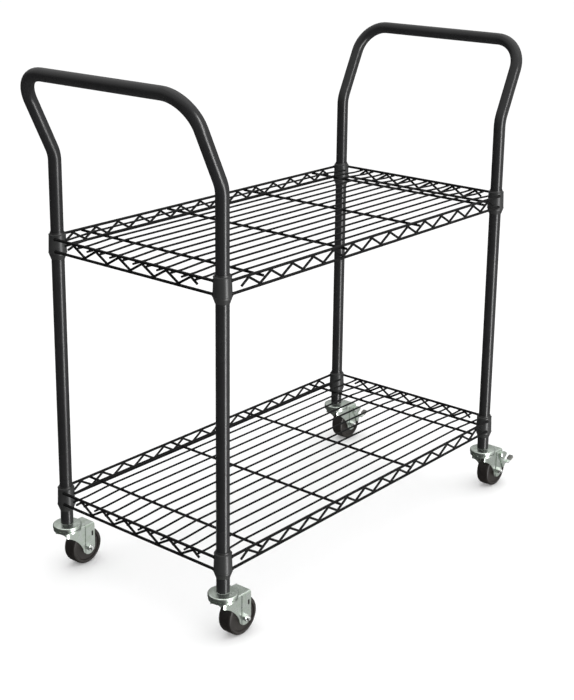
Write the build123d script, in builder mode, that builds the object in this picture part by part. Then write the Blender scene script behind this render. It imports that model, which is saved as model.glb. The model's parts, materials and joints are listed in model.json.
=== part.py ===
from build123d import *
import math
import os

os.makedirs("parts", exist_ok=True)

# Two-shelf wire cart on four casters. Millimetres. X runs along the cart, Y across it and Z up.
# The origin is on the floor, under the middle of the cart.

# Posts and push handles: one bent tube at each end of the cart
post_pitch_x = 886.4
post_pitch_y = 429.2
tube_radius = 12.7
tube_wall = 1.5
foot_height = 102.0
knee_height = 864.0
bar_height = 1028.0
handle_lean = 25.9
knee_radius = 60.0
corner_radius = 63.5

# Shelves
shelf_levels = {"upper": 700.7, "lower": 173.0}
rim_offset = 14.0
rim_radius = 2.8
rim_spacing = 24.4
rim_end_gap = 9.5
truss_radius = 2.4
truss_bend = 4.5
truss_peak = 3.2
truss_valley = 21.2
long_pitch = 60.06
long_valleys = 13
long_stub = (19.0, 12.5)
short_pitch = 60.96
short_valleys = 5
short_stub = (15.5, 10.5)
cross_radius = 2.6
cross_every = 4
deck_radius = 2.05
deck_count = 14
wire_tail = 8.0
outermost_end = 436.2
weld = 0.1
deck_weld = 0.25
dip_start = 366.0
dip_end = 431.0
dip_round = 60.0

# Shelf corners: a conical collar on a split plastic sleeve, which a bead keys to a groove in the post
collar_top = 8.0
collar_bottom = -30.0
collar_radius_top = 16.5
collar_radius_bottom = 17.8
cone_radius_top = 14.2
cone_radius_bottom = 15.2
sleeve_top = 11.0
sleeve_bottom = -42.0
sleeve_skirt_radius = 16.9
sleeve_end_radius = 13.4
sleeve_slit = 0.8
groove_depth = 0.4
groove_width = 2.4
groove_level = -10.0

# Casters
wheel_radius = 38.1
wheel_width = 30.0
trail = 40.0
cap_radius = 29.0
cap_skirt = 93.2
cap_metal = 2.0
stem_radius = 5.5
stem_top = 140.0
kingpin_radius = 6.0
kingpin_foot = 79.0
kingpin_foot_radius = 9.5
race_radius = 20.5
ball_radius = 3.0
ball_count = 14
ball_height = 92.9
ball_gap = 0.3
dish_radius = 28.0
dish_top = 91.0
crown_top = 88.0
crown_skirt = 78.5
crown_front = -26.0
crown_corner = 17.5
crown_edge = 2.5
leg_curve_x = 4.0
leg_curve_height = 64.0
fork_half_width = 19.0
fork_metal = 2.5
fork_step = 1.2
fork_step_place = 31.0
fork_tip = 15.5
fork_back = trail + fork_tip
axle_radius = 4.0
bush_radius = 6.35
running_gap = 0.05
nut_height = 6.8
nut_flats = 13.0
head_height = 5.3
bolt_end = 31.0
hex_chamfer = 1.1
hex_land = 0.3
hub_radius = 12.0
hub_proud = 1.2
web_recess = 2.5
rim_inside = 29.0

# Wheel brake, on the two right-hand casters
pivot_x = 49.0
pivot_height = 73.5
pivot_radius = 2.5
slot_height = 66.0
slot_length = 11.0
slot_width = 4.6
arm_inside = 20.6
arm_metal = 2.4
arm_round = 2.0
arm_span = 200.0
web_metal = 2.4
pedal_width = 9.0
pad_length = 14.0
pad_wall = 1.4

half_x = post_pitch_x / 2
half_y = post_pitch_y / 2
posts = {
    "front_left": (-half_x, -half_y),
    "front_right": (half_x, -half_y),
    "back_left": (-half_x, half_y),
    "back_right": (half_x, half_y),
}
braked = ("front_right", "back_right")


# Labels a finished piece and writes it.
def finish(solid, name):
    solid.label = name
    export_step(solid, f"parts/{name}.step")


# The two tangent points of a bend at a corner, with the middle of its arc between them.
def bend_points(before, corner, after, radius):
    backward = (before - corner).normalized()
    forward = (after - corner).normalized()
    half_angle = math.radians(backward.get_angle(forward)) / 2
    reach = radius / math.tan(half_angle)
    inward = (backward + forward).normalized() * (radius / math.sin(half_angle) - radius)
    return corner + backward * reach, corner + inward, corner + forward * reach


# A closed outline of radius and height pairs, in the upright plane through an axis at x, y.
def turned_outline(x, y, outline):
    with BuildSketch(Plane(origin=(x, y, 0), x_dir=(1, 0, 0), z_dir=(0, -1, 0))) as profile:
        with BuildLine():
            Polyline(*outline, close=True)
        make_face()
    return profile.sketch


# The upright plane along a wall of a shelf, with its own x along the wall and y up.
def wall_plane(along_x, offset, level):
    if along_x:
        return Plane(origin=(0, offset, level), x_dir=(1, 0, 0), z_dir=(0, -1, 0))
    return Plane(origin=(offset, 0, level), x_dir=(0, 1, 0), z_dir=(1, 0, 0))


# Cuts the wires of a shelf back to the outside of its corner collars.
def trim_at_collars(level):
    with Locations(*[(x, y, level + collar_bottom) for x, y in posts.values()]):
        Cone(
            collar_radius_bottom,
            collar_radius_top,
            collar_top - collar_bottom,
            align=(Align.CENTER, Align.CENTER, Align.MIN),
            mode=Mode.SUBTRACT,
        )


# Post frames: two posts and the push handle between them, which leans out at the knees.
handle_reach = (bar_height - knee_height) * math.tan(math.radians(handle_lean))
for side, sign in (("left", -1), ("right", 1)):
    post_x = sign * half_x
    bar_x = sign * (half_x + handle_reach)
    corners = [
        Vector(post_x, -half_y, foot_height),
        Vector(post_x, -half_y, knee_height),
        Vector(bar_x, -half_y, bar_height),
        Vector(bar_x, half_y, bar_height),
        Vector(post_x, half_y, knee_height),
        Vector(post_x, half_y, foot_height),
    ]
    radii = (knee_radius, corner_radius, corner_radius, knee_radius)
    with BuildPart() as post_frame:
        with BuildLine() as route:
            run_start = corners[0]
            for index, radius in enumerate(radii, start=1):
                start, middle, end = bend_points(*corners[index - 1 : index + 2], radius)
                Line(run_start, start)
                ThreePointArc(start, middle, end)
                run_start = end
            Line(run_start, corners[-1])
        with BuildSketch(Plane(origin=corners[0], z_dir=(0, 0, 1))):
            Circle(tube_radius)
            Circle(tube_radius - tube_wall, mode=Mode.SUBTRACT)
        sweep()
        for level in shelf_levels.values():
            with BuildSketch(Plane.XY.offset(level + groove_level - groove_width / 2)):
                with Locations((post_x, -half_y), (post_x, half_y)):
                    Circle(tube_radius + 1)
                    Circle(tube_radius - groove_depth, mode=Mode.SUBTRACT)
            extrude(amount=groove_width, mode=Mode.SUBTRACT)
    finish(post_frame.part, f"{side}_post_frame")


# Shelf decks: long wires lie on four cross wires, and dip at their ends to pass under the end rims.
# The outermost two stop at the corner collars.
cross_level = -(rim_radius + cross_radius - weld)
deck_level = cross_level + cross_radius + deck_radius - deck_weld
tail_level = -(rim_radius + deck_radius - weld)
deck_end = half_x + rim_offset + wire_tail
cross_end = half_y + rim_offset + wire_tail
deck_pitch = 2 * (half_y + rim_offset) / (deck_count + 1)
cross_places = [(index - 1.5) * cross_every * long_pitch for index in range(4)]
for shelf, level in shelf_levels.items():
    with BuildPart() as deck:
        for index in range(deck_count):
            y = (index - (deck_count - 1) / 2) * deck_pitch
            wire_end = outermost_end if index in (0, deck_count - 1) else deck_end
            with BuildLine(wall_plane(True, y, level)) as wire:
                FilletPolyline(
                    (-wire_end, tail_level),
                    (-dip_end, tail_level),
                    (-dip_start, deck_level),
                    (dip_start, deck_level),
                    (dip_end, tail_level),
                    (wire_end, tail_level),
                    radius=dip_round,
                )
            with BuildSketch(Plane(origin=wire.line @ 0, z_dir=wire.line % 0)):
                Circle(deck_radius)
            sweep(path=wire.line)
        with BuildSketch(Plane.XZ.offset(-cross_end)):
            with Locations(*[(x, level + cross_level) for x in cross_places]):
                Circle(cross_radius)
        extrude(amount=2 * cross_end)
        trim_at_collars(level)
    finish(deck.part, f"{shelf}_deck_wires")


# One wall of a shelf: two rim wires with a bent wire zigzagging between them, up to the corner collars.
def wall_truss(plane, half_length, pitch, valleys, stub, level):
    with BuildPart() as wall:
        for drop in (0, -rim_spacing):
            start = plane.from_local_coords((rim_end_gap - half_length, drop, 0))
            with BuildSketch(Plane(origin=start, z_dir=plane.x_dir)):
                Circle(rim_radius)
            extrude(amount=2 * (half_length - rim_end_gap))
        first_peak = -valleys * pitch / 2
        zigzag = [(first_peak - stub[0], -truss_peak - stub[1])]
        for index in range(valleys):
            zigzag.append((first_peak + index * pitch, -truss_peak))
            zigzag.append((first_peak + (index + 0.5) * pitch, -truss_valley))
        zigzag.append((-first_peak, -truss_peak))
        zigzag.append((stub[0] - first_peak, -truss_peak - stub[1]))
        with BuildLine(plane) as bent_wire:
            FilletPolyline(*zigzag, radius=truss_bend)
        with BuildSketch(Plane(origin=bent_wire.line @ 0, z_dir=bent_wire.line % 0)):
            Circle(truss_radius)
        sweep(path=bent_wire.line)
        trim_at_collars(level)
    return wall.part


for shelf, level in shelf_levels.items():
    for side, sign in (("front", -1), ("back", 1)):
        plane = wall_plane(True, sign * (half_y + rim_offset), level)
        truss = wall_truss(plane, half_x, long_pitch, long_valleys, long_stub, level)
        finish(truss, f"{shelf}_{side}_truss")
    for side, sign in (("left", -1), ("right", 1)):
        plane = wall_plane(False, sign * (half_x + rim_offset), level)
        truss = wall_truss(plane, half_y, short_pitch, short_valleys, short_stub, level)
        finish(truss, f"{shelf}_{side}_truss")


# Corner collars and the split sleeves that wedge them onto the posts.
def cone_radius(height):
    share = (collar_top - height) / (collar_top - collar_bottom)
    return cone_radius_top + share * (cone_radius_bottom - cone_radius_top)


for shelf, level in shelf_levels.items():
    for corner, (x, y) in posts.items():
        outline = [
            (cone_radius_bottom, level + collar_bottom),
            (collar_radius_bottom, level + collar_bottom),
            (collar_radius_top, level + collar_top - 1.5),
            (collar_radius_top - 1.5, level + collar_top),
            (cone_radius_top, level + collar_top),
        ]
        with BuildPart() as collar:
            revolve(turned_outline(x, y, outline), axis=Axis((x, y, 0), (0, 0, 1)))
        finish(collar.part, f"{shelf}_{corner}_collar")

    bead_bottom = level + groove_level - groove_width / 2
    bead_radius = tube_radius - groove_depth
    with BuildPart() as sleeves:
        for x, y in posts.values():
            outline = [
                (tube_radius, level + sleeve_bottom),
                (sleeve_end_radius, level + sleeve_bottom),
                (sleeve_skirt_radius, level + collar_bottom - 2.5),
                (sleeve_skirt_radius, level + collar_bottom),
                (cone_radius_bottom, level + collar_bottom),
                (cone_radius(sleeve_top), level + sleeve_top),
                (tube_radius, level + sleeve_top),
                (tube_radius, bead_bottom + groove_width),
                (bead_radius, bead_bottom + groove_width),
                (bead_radius, bead_bottom),
                (tube_radius, bead_bottom),
            ]
            revolve(turned_outline(x, y, outline), axis=Axis((x, y, 0), (0, 0, 1)))
        with Locations(*[(x, y, level) for x, y in posts.values()]):
            Box(3 * tube_radius, sleeve_slit, 3 * sleeve_top - 3 * sleeve_bottom, mode=Mode.SUBTRACT)
    finish(sleeves.part, f"{shelf}_sleeve_halves")


# Caster stems in their sockets: the kingpin under each stem carries the swivel and ends in a riveted foot.
with BuildPart() as stem_sockets:
    with BuildSketch(Plane.XY.offset(foot_height)):
        with Locations(*posts.values()):
            Circle(tube_radius - tube_wall)
            Circle(stem_radius, mode=Mode.SUBTRACT)
    extrude(amount=stem_top - foot_height + 4)
finish(stem_sockets.part, "stem_sockets")

stem_outline = [
    (0, kingpin_foot),
    (kingpin_foot_radius - 1.5, kingpin_foot),
    (kingpin_foot_radius, kingpin_foot + 1.5),
    (kingpin_foot_radius, crown_top - fork_metal - 0.5),
    (kingpin_radius, crown_top - fork_metal - 0.5),
    (kingpin_radius, foot_height),
    (stem_radius, foot_height),
    (stem_radius, stem_top - 9),
    (stem_radius - 0.8, stem_top - 8),
    (stem_radius - 0.8, stem_top - 6),
    (stem_radius, stem_top - 5),
    (stem_radius, stem_top - 2),
    (stem_radius - 2, stem_top),
    (0, stem_top),
]
with BuildPart() as caster_stems:
    for x, y in posts.values():
        revolve(turned_outline(x, y, stem_outline), axis=Axis((x, y, 0), (0, 0, 1)))
finish(caster_stems.part, "caster_stems")

cap_outline = [
    (kingpin_radius, foot_height - 6),
    (cap_radius - cap_metal, foot_height - 6),
    (cap_radius - cap_metal, cap_skirt),
    (cap_radius, cap_skirt),
    (cap_radius, foot_height - 4.5),
    (cap_radius - 0.5, foot_height - 3.1),
    (cap_radius - 1.7, foot_height - 2.2),
    (cap_radius - 3.5, foot_height - 2),
    (tube_radius, foot_height - 0.8),
    (tube_radius - 1, foot_height),
    (kingpin_radius, foot_height),
]
for corner, (x, y) in posts.items():
    upright = Axis((x, y, 0), (0, 0, 1))
    with BuildPart() as cap:
        revolve(turned_outline(x, y, cap_outline), axis=upright)
        with BuildSketch(Plane(origin=(x, y, 0), x_dir=(1, 0, 0), z_dir=(0, -1, 0))):
            with Locations((race_radius, ball_height)):
                Circle(ball_radius + ball_gap)
        revolve(axis=upright, mode=Mode.SUBTRACT)
    finish(cap.part, f"{corner}_swivel_cap")


# Swivel forks. The raised dish holds the ball race, and the two legs run back and down to the axle,
# each with a step out that stiffens its back edge.
dish_outline = [
    (kingpin_radius + running_gap, crown_top - fork_metal),
    (25, crown_top - fork_metal),
    (dish_radius, dish_top - 4),
    (dish_radius, dish_top),
    (dish_radius - 2, dish_top),
    (dish_radius - 3.5, ball_height - ball_radius),
    (kingpin_radius + 8, ball_height - ball_radius),
    (kingpin_radius + 6.5, foot_height - 6.8),
    (kingpin_radius + running_gap, foot_height - 6.8),
]
fork_inside = fork_half_width - fork_metal
leg_outside = fork_half_width + fork_step
leg_inside = leg_outside - fork_metal
step_top = crown_top - crown_edge
for corner, (x, y) in posts.items():
    upright = Axis((x, y, 0), (0, 0, 1))
    side_plane = Plane(origin=(x, y, 0), x_dir=(1, 0, 0), z_dir=(0, -1, 0))
    with BuildPart() as fork:
        with BuildSketch(side_plane) as leg:
            with BuildLine():
                Line((crown_front, crown_top), (fork_back, crown_top))
                Line((fork_back, crown_top), (fork_back, wheel_radius))
                ThreePointArc(
                    (fork_back, wheel_radius),
                    (trail, wheel_radius - fork_tip),
                    (trail - fork_tip, wheel_radius),
                )
                ThreePointArc(
                    (trail - fork_tip, wheel_radius),
                    (leg_curve_x, leg_curve_height),
                    (crown_front, crown_skirt),
                )
                Line((crown_front, crown_skirt), (crown_front, crown_top))
            make_face()
        extrude(amount=fork_half_width, both=True)
        fillet(fork.edges().filter_by(Axis.Z).group_by(Axis.X)[0], radius=crown_corner)
        fillet(fork.edges().filter_by(Axis.X).group_by(Axis.Z)[-1], radius=crown_edge)
        with BuildSketch(side_plane):
            add(leg.sketch_local)
            with Locations((fork_step_place, 0)):
                Rectangle(fork_back, step_top, align=(Align.MIN, Align.MIN), mode=Mode.INTERSECT)
        extrude(amount=leg_outside, both=True)
        with BuildSketch(side_plane):
            with Locations((trail / 2, (crown_top - fork_metal) / 2)):
                Rectangle(4 * trail, crown_top - fork_metal)
        extrude(amount=fork_inside, both=True, mode=Mode.SUBTRACT)
        with BuildSketch(side_plane):
            with Locations((fork_step_place + fork_metal, 0)):
                Rectangle(fork_back, step_top - fork_metal, align=(Align.MIN, Align.MIN))
        extrude(amount=leg_inside, both=True, mode=Mode.SUBTRACT)
        with BuildSketch(side_plane):
            with Locations((trail, wheel_radius)):
                Circle(axle_radius)
            if corner in braked:
                with Locations((pivot_x, pivot_height)):
                    Circle(pivot_radius)
            else:
                with Locations((pivot_x, slot_height)):
                    SlotOverall(slot_length, slot_width, rotation=90)
        extrude(amount=2 * fork_half_width, both=True, mode=Mode.SUBTRACT)
        revolve(turned_outline(x, y, dish_outline), axis=upright)
        with Locations((x, y, 0)):
            Cylinder(kingpin_radius + running_gap, 2 * foot_height, mode=Mode.SUBTRACT)
        with BuildSketch(side_plane):
            with Locations((race_radius, ball_height)):
                Circle(ball_radius + running_gap)
        revolve(axis=upright, mode=Mode.SUBTRACT)
    finish(fork.part, f"{corner}_fork")

    with BuildPart() as balls:
        with Locations((x, y, ball_height)):
            with PolarLocations(race_radius, ball_count):
                Sphere(ball_radius)
    finish(balls.part, f"{corner}_race_balls")


# Wheels on their axles. An outline here is radius and distance from the wheel's middle, towards the nut.
def axle_outline(x, y, outline):
    plane = Plane(origin=(x + trail, y, wheel_radius), x_dir=(0, 0, 1), z_dir=(1, 0, 0))
    with BuildSketch(plane) as profile:
        with BuildLine():
            Polyline(*outline, close=True)
        make_face()
    return profile.sketch


# The turned shape that takes the corners off a nut of this height, outside the fork's leg. The bolt head
# is on the other leg, and its height is negative.
def turned_hexagon(x, y, height):
    side = math.copysign(1, height)
    outline = [
        (0, side * leg_outside),
        (nut_radius + 1, side * leg_outside),
        (nut_radius + 1, side * leg_outside + height - side * hex_chamfer),
        (nut_flats / 2 - hex_land, side * leg_outside + height),
        (0, side * leg_outside + height),
    ]
    with BuildPart() as blank:
        revolve(axle_outline(x, y, outline), axis=Axis((x + trail, y, wheel_radius), (0, 1, 0)))
    return blank.part


nut_radius = nut_flats / 2 / math.cos(math.pi / 6)
half_width = wheel_width / 2
wheel_half = [
    (hub_radius, half_width + hub_proud),
    (hub_radius + 1, half_width - web_recess),
    (rim_inside, half_width - web_recess),
    (rim_inside + 1.5, half_width),
    (wheel_radius - 3.5, half_width),
    (wheel_radius - 1.2, half_width - 1.3),
    (wheel_radius, half_width - 4),
]
bore_radius = bush_radius + running_gap
wheel_outline = [(bore_radius, half_width + hub_proud)] + wheel_half
wheel_outline += [(radius, -width) for radius, width in reversed(wheel_half)]
wheel_outline += [(bore_radius, -half_width - hub_proud)]
for corner, (x, y) in posts.items():
    axle = Axis((x + trail, y, wheel_radius), (0, 1, 0))
    with BuildPart() as wheel:
        revolve(axle_outline(x, y, wheel_outline), axis=axle)
    finish(wheel.part, f"{corner}_wheel")

    bush_outline = [
        (axle_radius, -leg_inside),
        (bush_radius, -leg_inside),
        (bush_radius, leg_inside),
        (axle_radius, leg_inside),
    ]
    with BuildPart() as bush:
        revolve(axle_outline(x, y, bush_outline), axis=axle)
    finish(bush.part, f"{corner}_axle_bush")

    with BuildPart() as bolt:
        with BuildSketch(Plane(origin=(x + trail, y + leg_outside, wheel_radius), z_dir=(0, 1, 0))):
            RegularPolygon(nut_radius, 6)
        extrude(amount=head_height)
        add(turned_hexagon(x, y, -head_height), mode=Mode.INTERSECT)
        with BuildSketch(Plane(origin=(x + trail, y - bolt_end, wheel_radius), z_dir=(0, 1, 0))):
            Circle(axle_radius)
        extrude(amount=bolt_end + leg_outside)
        chamfer(bolt.faces().sort_by(Axis.Y)[0].edges(), length=0.8)
    finish(bolt.part, f"{corner}_axle_bolt")

    with BuildPart() as nut:
        with BuildSketch(Plane(origin=(x + trail, y - leg_outside, wheel_radius), z_dir=(0, -1, 0))):
            RegularPolygon(nut_radius, 6)
            Circle(axle_radius, mode=Mode.SUBTRACT)
        extrude(amount=nut_height)
        add(turned_hexagon(x, y, nut_height), mode=Mode.INTERSECT)
    finish(nut.part, f"{corner}_axle_nut")


# Brakes. A stamped lever straddles the wheel on two shoulder rivets, and its shoe bears on the tread.
arm_outside = arm_inside + arm_metal
shoe_front = (60.5, 74.9)
shoe_back = (69.5, 70.5)
pedal_root = (69.0, 49.6)
pedal_end = (88.5, 59.0)
pedal_slope = Vector(pedal_end[0] - pedal_root[0], 0, pedal_end[1] - pedal_root[1])
arm_outline = [
    (43.0, 72.0),
    (45.0, 79.0),
    (53.0, 81.5),
    (64.0, 78.0),
    (72.0, 72.5),
    (70.5, 67.5),
    (62.0, 62.0),
    (63.0, 56.5),
    (73.0, 54.5),
    (75.0, 51.5),
    (66.0, 46.5),
    (60.5, 38.5),
    (57.0, 40.0),
    (52.5, 52.0),
    (50.0, 60.0),
    (44.0, 65.0),
]
rivet_half = [
    (0, leg_inside - 0.9),
    (4.2, leg_inside - 0.9),
    (4.2, leg_inside),
    (pivot_radius, leg_inside),
    (pivot_radius, arm_outside + 0.4),
    (5.5, arm_outside + 0.4),
    (5.5, arm_outside + 2.0),
    (4.2, arm_outside + 3.0),
    (0, arm_outside + 3.0),
]
for corner in braked:
    x, y = posts[corner]
    side_plane = Plane(origin=(x, y, 0), x_dir=(1, 0, 0), z_dir=(0, -1, 0))
    with BuildPart() as lever:
        with BuildSketch(side_plane) as arm:
            with BuildLine():
                Polyline(*arm_outline, close=True)
            make_face()
            fillet(arm.vertices(), radius=arm_round)
        extrude(amount=arm_outside, both=True)
        with BuildSketch(side_plane):
            with Locations((trail, wheel_radius)):
                Rectangle(arm_span, arm_span)
        extrude(amount=arm_inside, both=True, mode=Mode.SUBTRACT)
        with BuildSketch(side_plane):
            with BuildLine():
                Line(shoe_front, shoe_back)
            trace(line_width=web_metal)
        extrude(amount=arm_outside, both=True)
        with BuildSketch(side_plane.offset(arm_inside)):
            with BuildLine():
                Line(pedal_root, pedal_end)
            trace(line_width=web_metal)
        extrude(amount=pedal_width)
        with BuildSketch(side_plane):
            with Locations((pivot_x, pivot_height)):
                Circle(pivot_radius + running_gap)
        extrude(amount=2 * arm_outside, both=True, mode=Mode.SUBTRACT)
    finish(lever.part, f"{corner}_brake_lever")

    pad_plane = Plane(
        origin=(x + pedal_end[0], y - arm_inside - pedal_width / 2, pedal_end[1]),
        x_dir=pedal_slope,
        z_dir=pedal_slope.cross(Vector(0, 1, 0)) * -1,
    )
    with BuildPart() as pad:
        with BuildSketch(pad_plane.offset(-web_metal / 2 - pad_wall)):
            with Locations((pad_wall - pad_length / 2, 0)):
                RectangleRounded(pad_length, pedal_width + 2 * pad_wall, 3)
        extrude(amount=web_metal + 2 * pad_wall)
        fillet(pad.edges().group_by(Axis(pad_plane.origin, pad_plane.z_dir))[-1], radius=1.2)
        add(lever.part, mode=Mode.SUBTRACT)
    finish(pad.part, f"{corner}_brake_pad")

    with BuildPart() as rivets:
        for side in (-1, 1):
            outline = [(radius, side * place) for radius, place in rivet_half]
            plane = Plane(origin=(x + pivot_x, y, pivot_height), x_dir=(0, 0, 1), z_dir=(1, 0, 0))
            with BuildSketch(plane):
                with BuildLine():
                    Polyline(*outline, close=True)
                make_face()
            revolve(axis=Axis((x + pivot_x, y, pivot_height), (0, 1, 0)))
    finish(rivets.part, f"{corner}_brake_rivets")
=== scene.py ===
# Wire utility cart: finishes, small details, floor, lights and camera round the fixed frame.
import json
import math

import bmesh
import bpy
from mathutils import Matrix, Vector


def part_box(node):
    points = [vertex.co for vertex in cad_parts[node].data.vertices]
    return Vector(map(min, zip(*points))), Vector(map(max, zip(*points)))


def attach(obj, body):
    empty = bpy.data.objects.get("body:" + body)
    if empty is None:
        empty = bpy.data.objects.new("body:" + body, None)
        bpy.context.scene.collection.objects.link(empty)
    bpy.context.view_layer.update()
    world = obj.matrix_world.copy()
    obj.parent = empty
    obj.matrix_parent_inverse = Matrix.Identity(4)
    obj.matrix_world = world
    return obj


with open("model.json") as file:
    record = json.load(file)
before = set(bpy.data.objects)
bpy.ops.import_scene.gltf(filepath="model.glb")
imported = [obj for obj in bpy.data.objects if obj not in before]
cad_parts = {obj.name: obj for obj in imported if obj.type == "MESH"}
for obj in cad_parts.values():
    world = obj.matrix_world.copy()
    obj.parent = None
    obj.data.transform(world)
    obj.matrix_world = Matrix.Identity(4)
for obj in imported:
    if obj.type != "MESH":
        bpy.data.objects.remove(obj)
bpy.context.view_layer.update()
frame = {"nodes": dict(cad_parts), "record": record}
nodes = frame["nodes"]
print("frame loaded:", len(nodes), "parts")

corners = ("front_left", "front_right", "back_left", "back_right")
brakedCorners = ("front_right", "back_right")
shelves = ("upper", "lower")


# small helpers
def middleOf(node):
    low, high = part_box(node)
    return (low + high) / 2


def pieceFrom(bm, name, body, material, smooth=True):
    mesh = bpy.data.meshes.new(name)
    bm.to_mesh(mesh)
    bm.free()
    for face in mesh.polygons:
        face.use_smooth = smooth
    piece = bpy.data.objects.new(name, mesh)
    bpy.context.scene.collection.objects.link(piece)
    mesh.materials.append(material)
    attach(piece, body)
    return piece


def addBlob(bm, place, radii, turn=None):
    shape = Matrix.Diagonal((*radii, 1))
    if turn is not None:
        shape = turn.to_4x4() @ shape
    placed = Matrix.Translation(place) @ shape
    bmesh.ops.create_uvsphere(bm, u_segments=12, v_segments=8, radius=1, matrix=placed)


# a closed ring swept round an axis: outline holds (radius, distance along the axis) pairs
def addRing(bm, centre, axis, outline, steps=64):
    turn = Vector((0, 0, 1)).rotation_difference(Vector(axis)).to_matrix()
    rows = []
    for step in range(steps):
        angle = 2 * math.pi * step / steps
        row = []
        for radius, along in outline:
            spoke = Vector((radius * math.cos(angle), radius * math.sin(angle), along))
            row.append(bm.verts.new(centre + turn @ spoke))
        rows.append(row)
    for step in range(steps):
        here, there = rows[step], rows[(step + 1) % steps]
        for index in range(len(outline)):
            after = (index + 1) % len(outline)
            bm.faces.new((here[index], there[index], there[after], here[after]))


def roundOutline(radius, along, thick, points=10):
    angles = [2 * math.pi * index / points for index in range(points)]
    return [(radius + thick * math.cos(angle), along + thick * math.sin(angle)) for angle in angles]


# effects that several finishes share
def newGroup(name, inputs, outputs):
    group = bpy.data.node_groups.new(name, "ShaderNodeTree")
    for label, kind, value in inputs:
        socket = group.interface.new_socket(name=label, in_out="INPUT", socket_type=kind)
        socket.default_value = value
    for label, kind in outputs:
        group.interface.new_socket(name=label, in_out="OUTPUT", socket_type=kind)
    return group, group.nodes.new("NodeGroupInput"), group.nodes.new("NodeGroupOutput")


def noise(tree, vector, scale, detail=2.0, rough=0.5):
    node = tree.nodes.new("ShaderNodeTexNoise")
    node.inputs["Detail"].default_value = detail
    node.inputs["Roughness"].default_value = rough
    if isinstance(scale, (int, float)):
        node.inputs["Scale"].default_value = scale
    else:
        tree.links.new(scale, node.inputs["Scale"])
    tree.links.new(vector, node.inputs["Vector"])
    return node.outputs["Fac"]


def math2(tree, operation, first, second, clamp=False):
    node = tree.nodes.new("ShaderNodeMath")
    node.operation = operation
    node.use_clamp = clamp
    for index, value in enumerate((first, second)):
        if isinstance(value, (int, float)):
            node.inputs[index].default_value = value
        elif value is not None:
            tree.links.new(value, node.inputs[index])
    return node.outputs[0]


def mixColour(tree, share, first, second, blend="MIX"):
    node = tree.nodes.new("ShaderNodeMix")
    node.data_type = "RGBA"
    node.blend_type = blend
    tree.links.new(share, node.inputs[0])
    for index, value in ((6, first), (7, second)):
        if isinstance(value, tuple):
            node.inputs[index].default_value = value
        else:
            tree.links.new(value, node.inputs[index])
    return node.outputs[2]


def ramp(tree, value, low, high):
    node = tree.nodes.new("ShaderNodeMapRange")
    node.inputs["From Min"].default_value = low
    node.inputs["From Max"].default_value = high
    tree.links.new(value, node.inputs["Value"])
    return node.outputs["Result"]


# baked coating: orange peel, slow drift in gloss and tone
def buildCoatGrain():
    group, source, sink = newGroup(
        "coatGrain",
        [
            ("Colour", "NodeSocketColor", (0.03, 0.03, 0.03, 1)),
            ("Drift Colour", "NodeSocketColor", (0.05, 0.05, 0.05, 1)),
            ("Peel Scale", "NodeSocketFloat", 600.0),
            ("Gloss", "NodeSocketFloat", 0.35),
            ("Gloss Drift", "NodeSocketFloat", 0.1),
        ],
        [("Colour", "NodeSocketColor"), ("Roughness", "NodeSocketFloat"), ("Height", "NodeSocketFloat")],
    )
    coords = group.nodes.new("ShaderNodeTexCoord").outputs["Object"]
    peel = noise(group, coords, source.outputs["Peel Scale"], 1.5, 0.45)
    fineScale = math2(group, "MULTIPLY", source.outputs["Peel Scale"], 3.1)
    fine = noise(group, coords, fineScale, 2.0, 0.6)
    slow = ramp(group, noise(group, coords, 14.0, 3.0, 0.55), 0.3, 0.7)
    speck = ramp(group, noise(group, coords, 2600.0, 1.0, 0.5), 0.66, 0.74)
    broad = math2(group, "MULTIPLY", slow, 0.6)
    small = math2(group, "MULTIPLY", speck, 0.4)
    tone = math2(group, "ADD", broad, small, True)
    colour = mixColour(group, tone, source.outputs["Colour"], source.outputs["Drift Colour"])
    group.links.new(colour, sink.inputs["Colour"])
    gloss = math2(group, "MULTIPLY", math2(group, "SUBTRACT", slow, 0.5), source.outputs["Gloss Drift"])
    group.links.new(math2(group, "ADD", source.outputs["Gloss"], gloss), sink.inputs["Roughness"])
    height = math2(group, "ADD", peel, math2(group, "MULTIPLY", fine, 0.25))
    group.links.new(height, sink.inputs["Height"])
    return group


# plated sheet and turned steel: mottled passivate and fine drawing lines
def buildPlateTone():
    group, source, sink = newGroup(
        "plateTone",
        [
            ("Colour", "NodeSocketColor", (0.6, 0.63, 0.62, 1)),
            ("Tint", "NodeSocketColor", (0.5, 0.55, 0.45, 1)),
            ("Mottle Scale", "NodeSocketFloat", 90.0),
            ("Gloss", "NodeSocketFloat", 0.25),
            ("Gloss Drift", "NodeSocketFloat", 0.15),
            ("Line Stretch", "NodeSocketVector", (900.0, 60.0, 900.0)),
        ],
        [("Colour", "NodeSocketColor"), ("Roughness", "NodeSocketFloat"), ("Height", "NodeSocketFloat")],
    )
    coords = group.nodes.new("ShaderNodeTexCoord").outputs["Object"]
    mottle = ramp(group, noise(group, coords, source.outputs["Mottle Scale"], 4.0, 0.6), 0.32, 0.68)
    stretch = group.nodes.new("ShaderNodeVectorMath")
    stretch.operation = "MULTIPLY"
    group.links.new(coords, stretch.inputs[0])
    group.links.new(source.outputs["Line Stretch"], stretch.inputs[1])
    lines = noise(group, stretch.outputs[0], 1.0, 2.0, 0.6)
    colour = mixColour(group, mottle, source.outputs["Colour"], source.outputs["Tint"])
    group.links.new(colour, sink.inputs["Colour"])
    drift = math2(group, "MULTIPLY", math2(group, "SUBTRACT", mottle, 0.5), source.outputs["Gloss Drift"])
    scratch = math2(group, "MULTIPLY", math2(group, "SUBTRACT", lines, 0.5), 0.12)
    rough = math2(group, "ADD", math2(group, "ADD", source.outputs["Gloss"], drift), scratch)
    group.links.new(rough, sink.inputs["Roughness"])
    height = math2(group, "ADD", lines, math2(group, "MULTIPLY", mottle, 0.8))
    group.links.new(height, sink.inputs["Height"])
    return group


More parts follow.
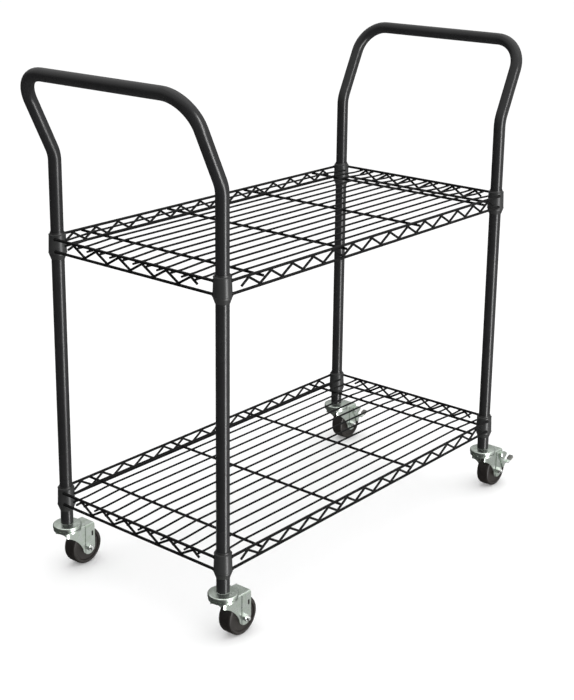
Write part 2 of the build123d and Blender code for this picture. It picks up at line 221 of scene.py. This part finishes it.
# moulded plastic and rubber: pebbled grain with a dusting of lighter wear
def buildMouldGrain():
    group, source, sink = newGroup(
        "mouldGrain",
        [
            ("Colour", "NodeSocketColor", (0.04, 0.04, 0.04, 1)),
            ("Dust Colour", "NodeSocketColor", (0.12, 0.11, 0.1, 1)),
            ("Dust", "NodeSocketFloat", 0.2),
            ("Grain Scale", "NodeSocketFloat", 1500.0),
            ("Gloss", "NodeSocketFloat", 0.5),
        ],
        [("Colour", "NodeSocketColor"), ("Roughness", "NodeSocketFloat"), ("Height", "NodeSocketFloat")],
    )
    coords = group.nodes.new("ShaderNodeTexCoord").outputs["Object"]
    pebble = group.nodes.new("ShaderNodeTexVoronoi")
    pebble.feature = "SMOOTH_F1"
    group.links.new(coords, pebble.inputs["Vector"])
    group.links.new(source.outputs["Grain Scale"], pebble.inputs["Scale"])
    cloud = ramp(group, noise(group, coords, 55.0, 5.0, 0.65), 0.42, 0.72)
    dust = math2(group, "MULTIPLY", cloud, source.outputs["Dust"], True)
    colour = mixColour(group, dust, source.outputs["Colour"], source.outputs["Dust Colour"])
    group.links.new(colour, sink.inputs["Colour"])
    rough = math2(group, "ADD", source.outputs["Gloss"], math2(group, "MULTIPLY", dust, 0.4))
    group.links.new(rough, sink.inputs["Roughness"])
    group.links.new(pebble.outputs["Distance"], sink.inputs["Height"])
    return group


coatGrain = buildCoatGrain()
plateTone = buildPlateTone()
mouldGrain = buildMouldGrain()


def newFinish(name, group, values, metallic, specular, coat, bumpDepth, bumpStrength):
    material = bpy.data.materials.new(name)
    material.use_nodes = True
    tree = material.node_tree
    shader = tree.nodes["Principled BSDF"]
    shader.inputs["Metallic"].default_value = metallic
    shader.inputs["Specular IOR Level"].default_value = specular
    shader.inputs["Coat Weight"].default_value = coat
    shader.inputs["Coat Roughness"].default_value = 0.18
    effect = tree.nodes.new("ShaderNodeGroup")
    effect.node_tree = group
    for label, value in values.items():
        effect.inputs[label].default_value = value
    bump = tree.nodes.new("ShaderNodeBump")
    bump.inputs["Strength"].default_value = bumpStrength
    bump.inputs["Distance"].default_value = bumpDepth
    tree.links.new(effect.outputs["Colour"], shader.inputs["Base Color"])
    tree.links.new(effect.outputs["Roughness"], shader.inputs["Roughness"])
    tree.links.new(effect.outputs["Height"], bump.inputs["Height"])
    tree.links.new(bump.outputs["Normal"], shader.inputs["Normal"])
    return material


# finishes
tubeFinish = {
    "Colour": (0.008, 0.008, 0.0083, 1),
    "Drift Colour": (0.012, 0.012, 0.0125, 1),
    "Peel Scale": 420.0,
    "Gloss": 0.27,
    "Gloss Drift": 0.05,
}
wireFinish = {
    "Colour": (0.0014, 0.0014, 0.0015, 1),
    "Drift Colour": (0.0026, 0.0026, 0.0027, 1),
    "Peel Scale": 700.0,
    "Gloss": 0.4,
    "Gloss Drift": 0.06,
}
collarFinish = {
    "Colour": (0.014, 0.0145, 0.0145, 1),
    "Drift Colour": (0.022, 0.022, 0.022, 1),
    "Peel Scale": 520.0,
    "Gloss": 0.36,
    "Gloss Drift": 0.1,
}
zincFinish = {
    "Colour": (0.62, 0.67, 0.63, 1),
    "Tint": (0.42, 0.48, 0.41, 1),
    "Mottle Scale": 120.0,
    "Gloss": 0.3,
    "Gloss Drift": 0.1,
    "Line Stretch": (500.0, 500.0, 60.0),
}
brightFinish = {
    "Colour": (0.82, 0.83, 0.82, 1),
    "Tint": (0.68, 0.7, 0.67, 1),
    "Mottle Scale": 260.0,
    "Gloss": 0.16,
    "Gloss Drift": 0.08,
    "Line Stretch": (900.0, 80.0, 900.0),
}
wheelFinish = {
    "Colour": (0.0085, 0.007, 0.006, 1),
    "Dust Colour": (0.03, 0.025, 0.021, 1),
    "Dust": 0.25,
    "Grain Scale": 1300.0,
    "Gloss": 0.44,
}
sleeveFinish = {
    "Colour": (0.012, 0.012, 0.012, 1),
    "Dust Colour": (0.03, 0.03, 0.03, 1),
    "Dust": 0.2,
    "Grain Scale": 1800.0,
    "Gloss": 0.4,
}
padFinish = {
    "Colour": (0.13, 0.13, 0.12, 1),
    "Dust Colour": (0.24, 0.23, 0.21, 1),
    "Dust": 0.3,
    "Grain Scale": 1500.0,
    "Gloss": 0.5,
}

tubeCoat = newFinish("tubeCoat", coatGrain, tubeFinish, 0, 0.3, 0.0, 0.00012, 0.35)
wireCoat = newFinish("wireCoat", coatGrain, wireFinish, 0, 0.12, 0.0, 0.00008, 0.4)
collarCoat = newFinish("collarCoat", coatGrain, collarFinish, 0, 0.3, 0.0, 0.00016, 0.45)
zincPlate = newFinish("zincPlate", plateTone, zincFinish, 1, 0.5, 0.0, 0.00006, 0.3)
brightSteel = newFinish("brightSteel", plateTone, brightFinish, 1, 0.5, 0.0, 0.00004, 0.3)
wheelRubber = newFinish("wheelRubber", mouldGrain, wheelFinish, 0, 0.28, 0.0, 0.0001, 0.4)
sleevePlastic = newFinish("sleevePlastic", mouldGrain, sleeveFinish, 0, 0.4, 0.0, 0.00006, 0.4)
padPlastic = newFinish("padPlastic", mouldGrain, padFinish, 0, 0.45, 0.0, 0.0001, 0.5)

finishOfSlot = {
    "frame_coat": tubeCoat,
    "wire_coat": wireCoat,
    "collar_coat": collarCoat,
    "sleeve_plastic": sleevePlastic,
    "zinc_steel": zincPlate,
    "bright_steel": brightSteel,
    "wheel_rubber": wheelRubber,
    "brake_plastic": padPlastic,
}
for part in frame["record"]["subparts"]:
    node = nodes[part["node"]]
    node.data.materials.clear()
    node.data.materials.append(finishOfSlot[part["material_slot"]])

# weld marks of the shelves
rimRadius = 0.0028
deckWeld = {
    "radii": (0.0031, 0.0027, 0.0013),
    "count": 14,
    "crossPlaces": (-0.36036, -0.12012, 0.12012, 0.36036),
    "height": -0.0032,
}
for shelf in shelves:
    frontLow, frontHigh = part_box(f"{shelf}_front_truss")
    rightLow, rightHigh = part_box(f"{shelf}_right_truss")
    rimTop = frontHigh.z - rimRadius
    wallFront = (frontLow.y + frontHigh.y) / 2
    wallRight = (rightLow.x + rightHigh.x) / 2
    pitch = -2 * wallFront / (deckWeld["count"] + 1)
    bm = bmesh.new()
    for index in range(deckWeld["count"]):
        y = (index - (deckWeld["count"] - 1) / 2) * pitch
        for x in deckWeld["crossPlaces"]:
            addBlob(bm, Vector((x, y, rimTop + deckWeld["height"])), deckWeld["radii"])
        if 0 < index < deckWeld["count"] - 1:
            for x in (-wallRight, wallRight):
                addBlob(bm, Vector((x, y, rimTop - rimRadius)), deckWeld["radii"])
    pieceFrom(bm, f"{shelf}DeckWelds", "cart_frame", wireCoat)

# the zigzag wire is spot-welded to both rims at every bend
rimWeld = {
    "longPitch": 0.06006,
    "longValleys": 13,
    "shortPitch": 0.06096,
    "shortValleys": 5,
    "peak": -0.0018,
    "valley": -0.0228,
}
rimWeldRadii = {"along": 0.0042, "across": 0.003, "up": 0.0019}
for shelf in shelves:
    bm = bmesh.new()
    for side in ("front", "back", "left", "right"):
        low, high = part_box(f"{shelf}_{side}_truss")
        top = high.z - rimRadius
        runsLong = side in ("front", "back")
        pitch = rimWeld["longPitch" if runsLong else "shortPitch"]
        valleys = rimWeld["longValleys" if runsLong else "shortValleys"]
        for half in range(2 * valleys + 1):
            along = (half / 2 - valleys / 2) * pitch
            height = top + rimWeld["valley" if half % 2 else "peak"]
            if runsLong:
                place = Vector((along, (low.y + high.y) / 2, height))
                radii = (rimWeldRadii["along"], rimWeldRadii["across"], rimWeldRadii["up"])
            else:
                place = Vector(((low.x + high.x) / 2, along, height))
                radii = (rimWeldRadii["across"], rimWeldRadii["along"], rimWeldRadii["up"])
            addBlob(bm, place, radii)
    pieceFrom(bm, f"{shelf}WallWelds", "cart_frame", wireCoat)

# weld beads where the rims meet the collars
cornerWeld = {
    "drop": 0.0244,
    "rimOffset": 0.014,
    "radii": (0.0034, 0.0034, 0.0035),
    "topRadius": 0.0165,
    "footRadius": 0.0178,
    "tall": 0.038,
}
for shelf in shelves:
    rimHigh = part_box(f"{shelf}_front_truss")[1]
    bm = bmesh.new()
    for corner in corners:
        low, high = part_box(f"{shelf}_{corner}_collar")
        centre = Vector(((low.x + high.x) / 2, (low.y + high.y) / 2, 0))
        inward = Vector((-math.copysign(1, centre.x), -math.copysign(1, centre.y), 0))
        for drop in (0, cornerWeld["drop"]):
            height = rimHigh.z - rimRadius - drop
            share = (high.z - height) / cornerWeld["tall"]
            spread = cornerWeld["footRadius"] - cornerWeld["topRadius"]
            radius = cornerWeld["topRadius"] + share * spread
            aside = cornerWeld["rimOffset"]
            reach = math.sqrt(radius * radius - aside * aside)
            lengthwise = (inward.x * reach, -inward.y * aside)
            crosswise = (-inward.x * aside, inward.y * reach)
            for across, along in (lengthwise, crosswise):
                addBlob(bm, centre + Vector((across, along, height)), cornerWeld["radii"])
    pieceFrom(bm, f"{shelf}CornerWelds", "cart_frame", wireCoat)
print("weld marks made")

# rolled lips of the collars
collarLip = {
    "thick": 0.0006,
    "belowTop": 0.0017,
    "aboveFoot": 0.0008,
    "topRadius": 0.0164,
    "footRadius": 0.0177,
}
for shelf in shelves:
    bm = bmesh.new()
    for corner in corners:
        low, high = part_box(f"{shelf}_{corner}_collar")
        centre = Vector(((low.x + high.x) / 2, (low.y + high.y) / 2, 0))
        for radius, height in (
            (collarLip["topRadius"], high.z - collarLip["belowTop"]),
            (collarLip["footRadius"], low.z + collarLip["aboveFoot"]),
        ):
            addRing(bm, centre, (0, 0, 1), roundOutline(radius, height, collarLip["thick"]))
    pieceFrom(bm, f"{shelf}CollarLips", "cart_frame", collarCoat)
print("collar lips made")

# threads on the axle bolts
boltThread = {
    "pitch": 0.00125,
    "radius": 0.0039,
    "crest": 0.0004,
    "length": 0.0034,
    "steps": 28,
    "startIn": 0.0009,
    "fadeSteps": 6,
    "flank": 0.42,
}
for corner in corners:
    low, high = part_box(f"{corner}_axle_bolt")
    centre = middleOf(f"{corner}_axle_nut")
    bm = bmesh.new()
    turns = boltThread["length"] / boltThread["pitch"]
    total = int(turns * boltThread["steps"])
    start = low.y + boltThread["startIn"]
    rows = []
    for step in range(total + 1):
        angle = 2 * math.pi * step / boltThread["steps"]
        fade = min(1, step / boltThread["fadeSteps"], (total - step) / boltThread["fadeSteps"])
        along = start + boltThread["pitch"] * step / boltThread["steps"]
        half = boltThread["pitch"] * boltThread["flank"]
        row = []
        for lift, shift in ((0, -half), (boltThread["crest"] * fade, 0), (0, half)):
            across = (boltThread["radius"] + lift) * math.cos(angle)
            up = (boltThread["radius"] + lift) * math.sin(angle)
            row.append(bm.verts.new((centre.x + across, along + shift, centre.z + up)))
        rows.append(row)
    for step in range(total):
        for index in (0, 1):
            here, beyond = rows[step], rows[step + 1]
            bm.faces.new((here[index], here[index + 1], beyond[index + 1], beyond[index]))
    pieceFrom(bm, f"{corner}_boltThread", f"{corner}_caster", brightSteel)
print("bolt threads made")

# grip ribs on the brake pads
padRib = {
    "slope": math.atan2(0.0094, 0.0195),
    "places": (-0.0045, -0.0015, 0.0015, 0.0045),
    "lift": 0.0025,
    "radii": (0.0006, 0.0044, 0.0006),
}
for corner in brakedCorners:
    centre = middleOf(f"{corner}_brake_pad")
    turn = Matrix.Rotation(-padRib["slope"], 3, "Y")
    bm = bmesh.new()
    for place in padRib["places"]:
        addBlob(bm, centre + turn @ Vector((place, 0, padRib["lift"])), padRib["radii"], turn)
    pieceFrom(bm, f"{corner}_padRibs", f"{corner}_brake", padPlastic)
print("pad ribs made")

# floor, light and camera
floorMesh = bpy.data.meshes.new("studioFloor")
floorMesh.from_pydata([(-40, -40, 0), (40, -40, 0), (40, 40, 0), (-40, 40, 0)], [], [(0, 1, 2, 3)])
studioFloor = bpy.data.objects.new("studioFloor", floorMesh)
bpy.context.scene.collection.objects.link(studioFloor)
floorPaint = bpy.data.materials.new("floorPaint")
floorPaint.use_nodes = True
tree = floorPaint.node_tree
shader = tree.nodes["Principled BSDF"]
shader.inputs["Base Color"].default_value = (0.9, 0.9, 0.9, 1)
shader.inputs["Roughness"].default_value = 0.9
shader.inputs["Specular IOR Level"].default_value = 0.0
studioFloor.data.materials.append(floorPaint)
studioFloor.visible_glossy = False
studioFloor.visible_shadow = False

world = bpy.data.worlds.new("studioWorld")
bpy.context.scene.world = world
world.use_nodes = True
tree = world.node_tree
for node in list(tree.nodes):
    tree.nodes.remove(node)
output = tree.nodes.new("ShaderNodeOutputWorld")


def addRoom(strength):
    room = tree.nodes.new("ShaderNodeBackground")
    room.inputs["Color"].default_value = (1, 1, 1, 1)
    room.inputs["Strength"].default_value = strength
    return room


# the room is plain white to the eye, even for soft light, and banded for what polished metal shows
roomLight = {
    "seen": 1.0,
    "soft": 0.9,
    "darkBand": 0.05,
    "brightBand": 1.0,
    "sideBand": 0.6,
    "sideFrom": (0.5, -0.86, 0),
}
seen = tree.nodes.new("ShaderNodeLightPath")
coords = tree.nodes.new("ShaderNodeTexCoord").outputs["Generated"]
split = tree.nodes.new("ShaderNodeSeparateXYZ")
tree.links.new(coords, split.inputs[0])
facing = tree.nodes.new("ShaderNodeVectorMath")
facing.operation = "DOT_PRODUCT"
tree.links.new(coords, facing.inputs[0])
facing.inputs[1].default_value = roomLight["sideFrom"]
high = math2(tree, "MULTIPLY", ramp(tree, split.outputs["Z"], 0.05, 0.7), roomLight["brightBand"])
beside = math2(tree, "MULTIPLY", ramp(tree, facing.outputs["Value"], 0.35, 0.9), roomLight["sideBand"])
glow = math2(tree, "ADD", high, beside)
mirrored = addRoom(1.0)
tree.links.new(math2(tree, "ADD", glow, roomLight["darkBand"]), mirrored.inputs["Strength"])
chooser = tree.nodes.new("ShaderNodeMixShader")
tree.links.new(seen.outputs["Is Glossy Ray"], chooser.inputs[0])
tree.links.new(addRoom(roomLight["soft"]).outputs[0], chooser.inputs[1])
tree.links.new(mirrored.outputs[0], chooser.inputs[2])
backdrop = tree.nodes.new("ShaderNodeMixShader")
tree.links.new(seen.outputs["Is Camera Ray"], backdrop.inputs[0])
tree.links.new(chooser.outputs[0], backdrop.inputs[1])
tree.links.new(addRoom(roomLight["seen"]).outputs[0], backdrop.inputs[2])
tree.links.new(backdrop.outputs[0], output.inputs[0])


def addSoftbox(name, place, aim, width, height, power):
    light = bpy.data.lights.new(name, "AREA")
    light.shape = "RECTANGLE"
    light.size = width
    light.size_y = height
    light.energy = power
    light.use_shadow = False
    holder = bpy.data.objects.new(name, light)
    bpy.context.scene.collection.objects.link(holder)
    holder.location = place
    holder.rotation_mode = "QUATERNION"
    holder.rotation_quaternion = (Vector(aim) - Vector(place)).to_track_quat("-Z", "Y")


def addSun(name, aimFrom, angle, strength):
    light = bpy.data.lights.new(name, "SUN")
    light.angle = math.radians(angle)
    light.energy = strength
    holder = bpy.data.objects.new(name, light)
    bpy.context.scene.collection.objects.link(holder)
    holder.rotation_mode = "QUATERNION"
    holder.rotation_quaternion = (-Vector(aimFrom)).to_track_quat("-Z", "Y")


lightSetup = {"topPower": 0.8, "stripPower": 270}
addSun("overheadBank", (0.15, -0.1, 1), 70, lightSetup["topPower"])
addSoftbox("stripBank", (-0.2, -3.9, 0.1), (0, 0, 0.3), 0.8, 4.6, lightSetup["stripPower"])

camera = bpy.data.cameras.new("camera")
cameraHolder = bpy.data.objects.new("camera", camera)
bpy.context.scene.collection.objects.link(cameraHolder)
cameraPlace = {
    "location": (-2.1813, -1.8089, 1.4009),
    "turn": (74.04, -0.62, -50.0),
    "lens": 73.01,
    "shift": -0.12,
}
cameraHolder.location = cameraPlace["location"]
cameraHolder.rotation_euler = [math.radians(angle) for angle in cameraPlace["turn"]]
camera.lens = cameraPlace["lens"]
camera.shift_y = cameraPlace["shift"]
camera.clip_end = 200
bpy.context.scene.camera = cameraHolder
bpy.context.scene.view_settings.view_transform = "Standard"
print("floor, light and camera set")
